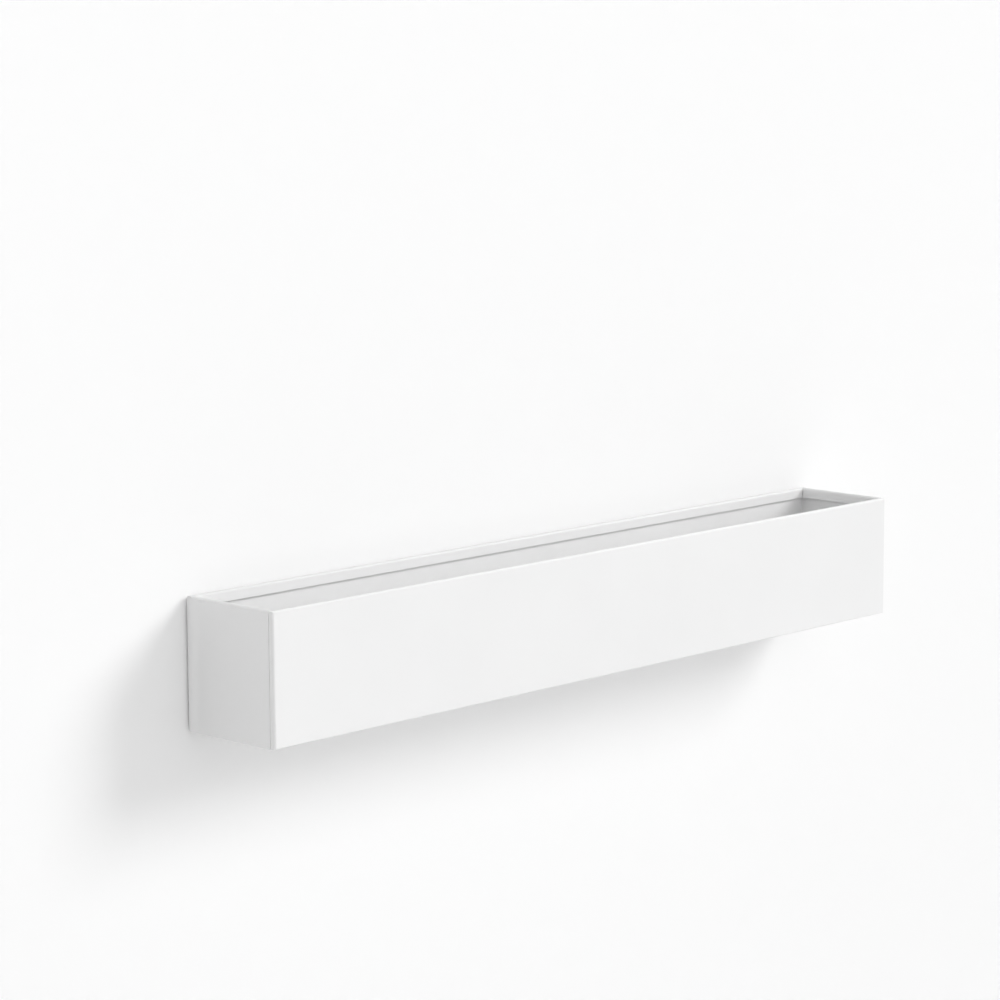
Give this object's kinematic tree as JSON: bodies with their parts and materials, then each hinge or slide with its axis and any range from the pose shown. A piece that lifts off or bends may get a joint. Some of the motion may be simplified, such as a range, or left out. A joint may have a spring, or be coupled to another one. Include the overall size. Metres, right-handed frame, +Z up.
{
  "type": "record display shelf",
  "caption": "Wall-hung open trough of folded white sheet steel that shows record sleeves face out and lifts off its wall screws.",
  "frame": {"origin": "on the wall, midway between the axes of the two wall screws", "axes": "+X along the shelf to the right, +Y into the wall, so the front faces -Y, +Z up"},
  "size_m": [0.672, 0.129, 0.0966],
  "materials": {
    "powder_coat": "matt white powder coat on folded steel sheet",
    "stainless_bolt": "plain stainless steel",
    "zinc_nut": "zinc plated steel",
    "zinc_screw": "zinc plated steel",
    "plug_nylon": "moulded grey nylon",
    "pad_rubber": "moulded matt rubber, self-adhesive"
  },
  "bodies": {
    "wall_fixings": {"left_wall_screw": "zinc_screw", "left_wall_plug": "plug_nylon", "right_wall_screw": "zinc_screw", "right_wall_plug": "plug_nylon"},
    "shelf": {"tray": "powder_coat", "left_end": "powder_coat", "left_floor_angle": "powder_coat", "left_back_angle": "powder_coat", "left_floor_bolt_front": "stainless_bolt", "left_floor_bolt_rear": "stainless_bolt", "left_back_bolt": "stainless_bolt", "left_floor_nut_front": "zinc_nut", "left_floor_nut_rear": "zinc_nut", "left_back_nut": "zinc_nut", "left_pad_lower": "pad_rubber", "left_pad_upper": "pad_rubber", "right_end": "powder_coat", "right_floor_angle": "powder_coat", "right_back_angle": "powder_coat", "right_floor_bolt_front": "stainless_bolt", "right_floor_bolt_rear": "stainless_bolt", "right_back_bolt": "stainless_bolt", "right_floor_nut_front": "zinc_nut", "right_floor_nut_rear": "zinc_nut", "right_back_nut": "zinc_nut", "right_pad_lower": "pad_rubber", "right_pad_upper": "pad_rubber"}
  },
  "joints": [
    {"name": "shelf_lift", "type": "slide", "parent": "wall_fixings", "child": "shelf", "axis": [0, 0, 1], "range_m": [0, 0.011]}
  ]
}
